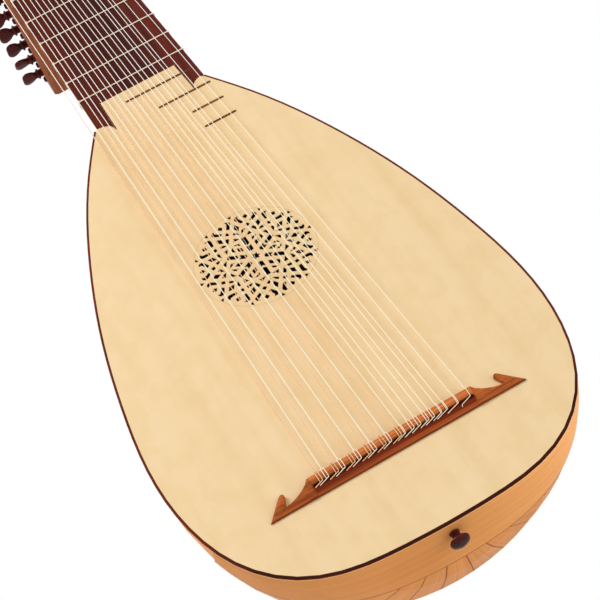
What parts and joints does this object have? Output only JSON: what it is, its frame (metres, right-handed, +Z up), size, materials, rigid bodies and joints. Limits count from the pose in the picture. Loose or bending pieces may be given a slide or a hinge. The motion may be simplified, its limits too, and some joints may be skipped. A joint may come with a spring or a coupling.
{
  "type": "baroque lute",
  "caption": "Baroque lute with a ribbed bowl back, carved rose, tied gut frets, horned bridge and bent-back pegbox with side pegs.",
  "frame": {"origin": "centre of the footprint box, on the floor under the bowl", "axes": "+Y from the bridge towards the nut, +X towards the treble side, +Z up"},
  "size_m": [0.3154, 0.8452, 0.2299],
  "materials": {
    "soundboard": "satin spruce with fine straight grain",
    "ribs": "varnished orange-brown hardwood",
    "fingerboard": "dark red-brown hardwood, satin",
    "veneer": "dark veneer, polished",
    "binding": "dark hardwood, polished",
    "bridge": "reddish hardwood, polished",
    "pegs": "dark hardwood, polished",
    "pegbox": "varnished brown hardwood",
    "core_wood": "plain pale hardwood",
    "bars": "bare spruce",
    "bone": "ivory-coloured bone, satin",
    "fret_gut": "twisted gut",
    "string_gut": "clear gut, the bass strings loaded a pinkish copper"
  },
  "bodies": {
    "body": {"bass_rider": "pegbox", "bridge": "bridge", "clasp": "ribs", "edge_binding": "binding", "end_block": "core_wood", "fingerboard": "fingerboard", "lower_bars": "bars", "neck": "core_wood", "neck_block": "core_wood", "neck_veneer": "veneer", "nut": "bone", "pegbox_back": "pegbox", "pegbox_cheek_bass": "pegbox", "pegbox_cheek_treble": "pegbox", "pegbox_end_block": "pegbox", "pegbox_head_block": "pegbox", "rib_01": "ribs", "rib_02": "ribs", "rib_03": "ribs", "rib_04": "ribs", "rib_05": "ribs", "rib_06": "ribs", "rib_07": "ribs", "rib_08": "ribs", "rib_09": "ribs", "rib_10": "ribs", "rib_11": "ribs", "soundboard": "soundboard", "strap_button": "pegs", "strings": "string_gut", "tied_fret_1": "fret_gut", "tied_fret_2": "fret_gut", "tied_fret_3": "fret_gut", "tied_fret_4": "fret_gut", "tied_fret_5": "fret_gut", "tied_fret_6": "fret_gut", "tied_fret_7": "fret_gut", "tied_fret_8": "fret_gut", "treble_rider": "pegbox", "upper_bars": "bars"},
    "peg_01_body": {"peg_01": "pegs"},
    "peg_02_body": {"peg_02": "pegs"},
    "peg_03_body": {"peg_03": "pegs"},
    "peg_04_body": {"peg_04": "pegs"},
    "peg_05_body": {"peg_05": "pegs"},
    "peg_06_body": {"peg_06": "pegs"},
    "peg_07_body": {"peg_07": "pegs"},
    "peg_08_body": {"peg_08": "pegs"},
    "peg_09_body": {"peg_09": "pegs"},
    "peg_10_body": {"peg_10": "pegs"},
    "peg_11_body": {"peg_11": "pegs"},
    "peg_12_body": {"peg_12": "pegs"},
    "peg_13_body": {"peg_13": "pegs"},
    "peg_14_body": {"peg_14": "pegs"},
    "peg_15_body": {"peg_15": "pegs"},
    "peg_16_body": {"peg_16": "pegs"},
    "peg_17_body": {"peg_17": "pegs"},
    "peg_18_body": {"peg_18": "pegs"},
    "peg_19_body": {"peg_19": "pegs"},
    "peg_20_body": {"peg_20": "pegs"}
  },
  "joints": [
    {"name": "peg_01_turn", "type": "hinge", "parent": "body", "child": "peg_01_body", "pos_m": [0.03434, 0.38061, 0.18915], "axis": [1, 0, 0], "continuous": true},
    {"name": "peg_02_turn", "type": "hinge", "parent": "body", "child": "peg_02_body", "pos_m": [-0.04129, 0.38262, 0.17828], "axis": [1, 0, 0], "continuous": true},
    {"name": "peg_03_turn", "type": "hinge", "parent": "body", "child": "peg_03_body", "pos_m": [0.03245, 0.38464, 0.16742], "axis": [1, 0, 0], "continuous": true},
    {"name": "peg_04_turn", "type": "hinge", "parent": "body", "child": "peg_04_body", "pos_m": [-0.0394, 0.38666, 0.15655], "axis": [1, 0, 0], "continuous": true},
    {"name": "peg_05_turn", "type": "hinge", "parent": "body", "child": "peg_05_body", "pos_m": [0.03055, 0.38867, 0.14569], "axis": [1, 0, 0], "continuous": true},
    {"name": "peg_06_turn", "type": "hinge", "parent": "body", "child": "peg_06_body", "pos_m": [-0.0375, 0.39069, 0.13482], "axis": [1, 0, 0], "continuous": true},
    {"name": "peg_07_turn", "type": "hinge", "parent": "body", "child": "peg_07_body", "pos_m": [0.02866, 0.3927, 0.12396], "axis": [1, 0, 0], "continuous": true},
    {"name": "peg_08_turn", "type": "hinge", "parent": "body", "child": "peg_08_body", "pos_m": [-0.03561, 0.39472, 0.1131], "axis": [1, 0, 0], "continuous": true},
    {"name": "peg_09_turn", "type": "hinge", "parent": "body", "child": "peg_09_body", "pos_m": [0.02676, 0.39674, 0.10223], "axis": [1, 0, 0], "continuous": true},
    {"name": "peg_10_turn", "type": "hinge", "parent": "body", "child": "peg_10_body", "pos_m": [-0.03371, 0.39875, 0.09137], "axis": [1, 0, 0], "continuous": true},
    {"name": "peg_11_turn", "type": "hinge", "parent": "body", "child": "peg_11_body", "pos_m": [0.02487, 0.40077, 0.0805], "axis": [1, 0, 0], "continuous": true},
    {"name": "peg_12_turn", "type": "hinge", "parent": "body", "child": "peg_12_body", "pos_m": [-0.03182, 0.40278, 0.06964], "axis": [1, 0, 0], "continuous": true},
    {"name": "peg_13_turn", "type": "hinge", "parent": "body", "child": "peg_13_body", "pos_m": [0.02297, 0.4048, 0.05877], "axis": [1, 0, 0], "continuous": true},
    {"name": "peg_14_turn", "type": "hinge", "parent": "body", "child": "peg_14_body", "pos_m": [-0.02992, 0.40681, 0.04791], "axis": [1, 0, 0], "continuous": true},
    {"name": "peg_15_turn", "type": "hinge", "parent": "body", "child": "peg_15_body", "pos_m": [0.02108, 0.40883, 0.03704], "axis": [1, 0, 0], "continuous": true},
    {"name": "peg_16_turn", "type": "hinge", "parent": "body", "child": "peg_16_body", "pos_m": [-0.02803, 0.41085, 0.02618], "axis": [1, 0, 0], "continuous": true},
    {"name": "peg_17_turn", "type": "hinge", "parent": "body", "child": "peg_17_body", "pos_m": [0.01918, 0.41286, 0.01531], "axis": [1, 0, 0], "continuous": true},
    {"name": "peg_18_turn", "type": "hinge", "parent": "body", "child": "peg_18_body", "pos_m": [0.0373, 0.39551, 0.21022], "axis": [1, 0, 0], "continuous": true},
    {"name": "peg_19_turn", "type": "hinge", "parent": "body", "child": "peg_19_body", "pos_m": [-0.0567, 0.39405, 0.21809], "axis": [1, 0, 0], "continuous": true},
    {"name": "peg_20_turn", "type": "hinge", "parent": "body", "child": "peg_20_body", "pos_m": [-0.0567, 0.39747, 0.1997], "axis": [1, 0, 0], "continuous": true}
  ]
}
